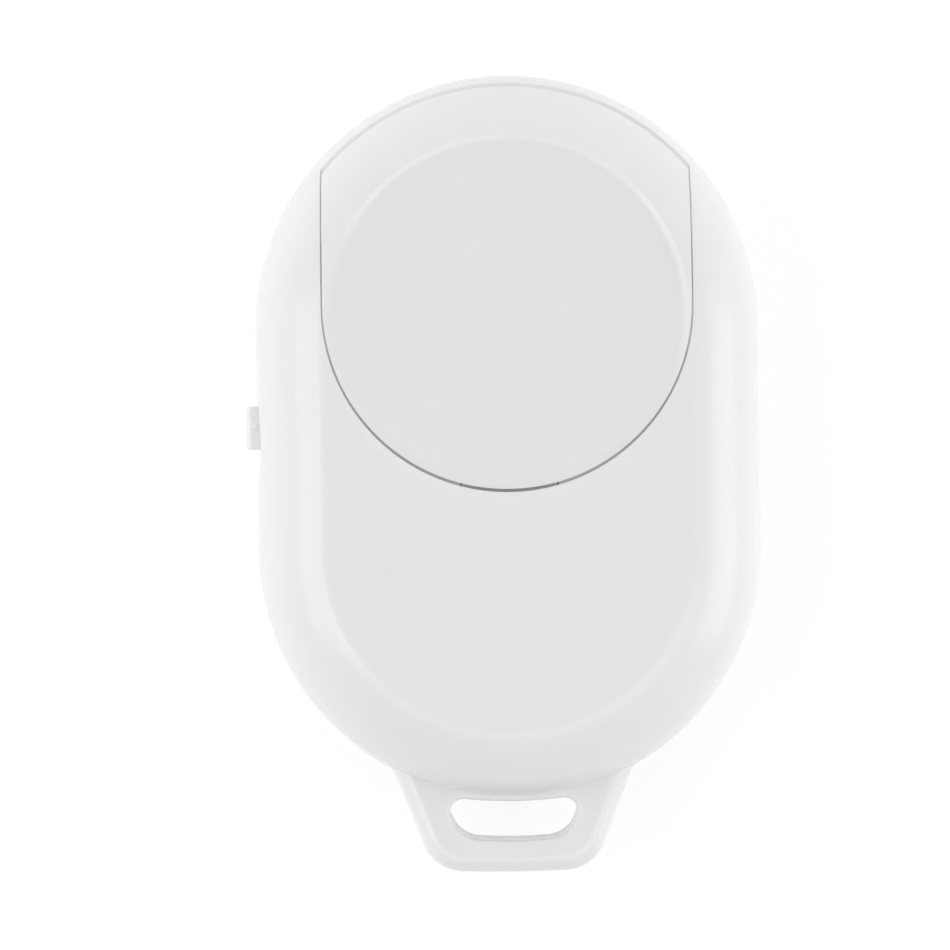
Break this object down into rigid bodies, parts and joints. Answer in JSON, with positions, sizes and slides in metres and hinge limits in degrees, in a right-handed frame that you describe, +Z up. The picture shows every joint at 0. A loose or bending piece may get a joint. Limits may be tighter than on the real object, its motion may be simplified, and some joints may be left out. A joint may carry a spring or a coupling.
{
  "type": "camera shutter remote",
  "caption": "Palm-sized wireless camera shutter remote: a rounded two-part housing with two round buttons, a side power slider, a sliding coin cell door and a strap loop.",
  "frame": {"origin": "middle of the body without its strap loop, on the front face that the remote rests on", "axes": "+X across the body to the right seen from the rear, +Y along the body away from the strap loop, +Z up from the front face with the buttons to the rear face with the battery door"},
  "size_m": [0.0327, 0.0507, 0.011],
  "materials": {
    "white_shell": "moulded, smooth satin gloss",
    "button_plastic": "moulded, smooth satin gloss",
    "slider_plastic": "moulded, satin",
    "switch_plastic": "matte",
    "plunger_plastic": "matte",
    "switch_steel": "plated sheet",
    "board_laminate": "solder mask over glass laminate",
    "copper": "gold plated copper",
    "chip_black": "moulded compound",
    "ceramic": "fired ceramic",
    "can_steel": "bright pressed steel",
    "gasket_plastic": "matte",
    "contact_spring": "plated spring sheet",
    "screw_steel": "dark zinc",
    "led_body": "moulded",
    "clear_window": "polished clear plastic"
  },
  "bodies": {
    "housing": {"antenna_trace": "copper", "capacitors": "ceramic", "case_screws": "screw_steel", "cell_can": "can_steel", "cell_cap": "can_steel", "cell_gasket": "gasket_plastic", "circuit_board": "board_laminate", "crystal_can": "can_steel", "front_shell": "white_shell", "large_switch_base": "switch_plastic", "large_switch_cover": "switch_steel", "large_switch_dome": "switch_steel", "large_switch_legs": "switch_steel", "led_window": "clear_window", "memory_chip": "chip_black", "negative_contact": "contact_spring", "positive_contact": "contact_spring", "radio_chip": "chip_black", "rear_shell": "white_shell", "resistors": "chip_black", "slide_switch_base": "switch_plastic", "slide_switch_can": "switch_steel", "small_switch_base": "switch_plastic", "small_switch_cover": "switch_steel", "small_switch_dome": "switch_steel", "small_switch_legs": "switch_steel", "status_led": "led_body"},
    "door": {"battery_door": "white_shell"},
    "large_button_body": {"large_button": "button_plastic"},
    "large_plunger_body": {"large_switch_plunger": "plunger_plastic"},
    "small_button_body": {"small_button": "button_plastic"},
    "small_plunger_body": {"small_switch_plunger": "plunger_plastic"},
    "slider": {"power_slider": "slider_plastic", "slide_switch_lever": "slider_plastic"}
  },
  "joints": [
    {"name": "door_slide", "type": "slide", "parent": "housing", "child": "door", "axis": [0, 1, 0], "range_m": [0, 0.003]},
    {"name": "large_press", "type": "slide", "parent": "housing", "child": "large_button_body", "axis": [0, 0, 1], "range_m": [0, 0.00025], "stiffness_N_per_m": 4000},
    {"name": "large_plunger_press", "type": "slide", "parent": "housing", "child": "large_plunger_body", "axis": [0, 0, 1], "range_m": [0, 0.00025], "deforming": ["large_switch_dome"]},
    {"name": "small_press", "type": "slide", "parent": "housing", "child": "small_button_body", "axis": [0, 0, 1], "range_m": [0, 0.00025], "stiffness_N_per_m": 4000},
    {"name": "small_plunger_press", "type": "slide", "parent": "housing", "child": "small_plunger_body", "axis": [0, 0, 1], "range_m": [0, 0.00025], "deforming": ["small_switch_dome"]},
    {"name": "power_slide", "type": "slide", "parent": "housing", "child": "slider", "axis": [0, -1, 0], "range_m": [0, 0.002]}
  ],
  "couplings": [
    {"joint": "large_plunger_press", "follows": "large_press", "ratio": 1},
    {"joint": "small_plunger_press", "follows": "small_press", "ratio": 1}
  ]
}
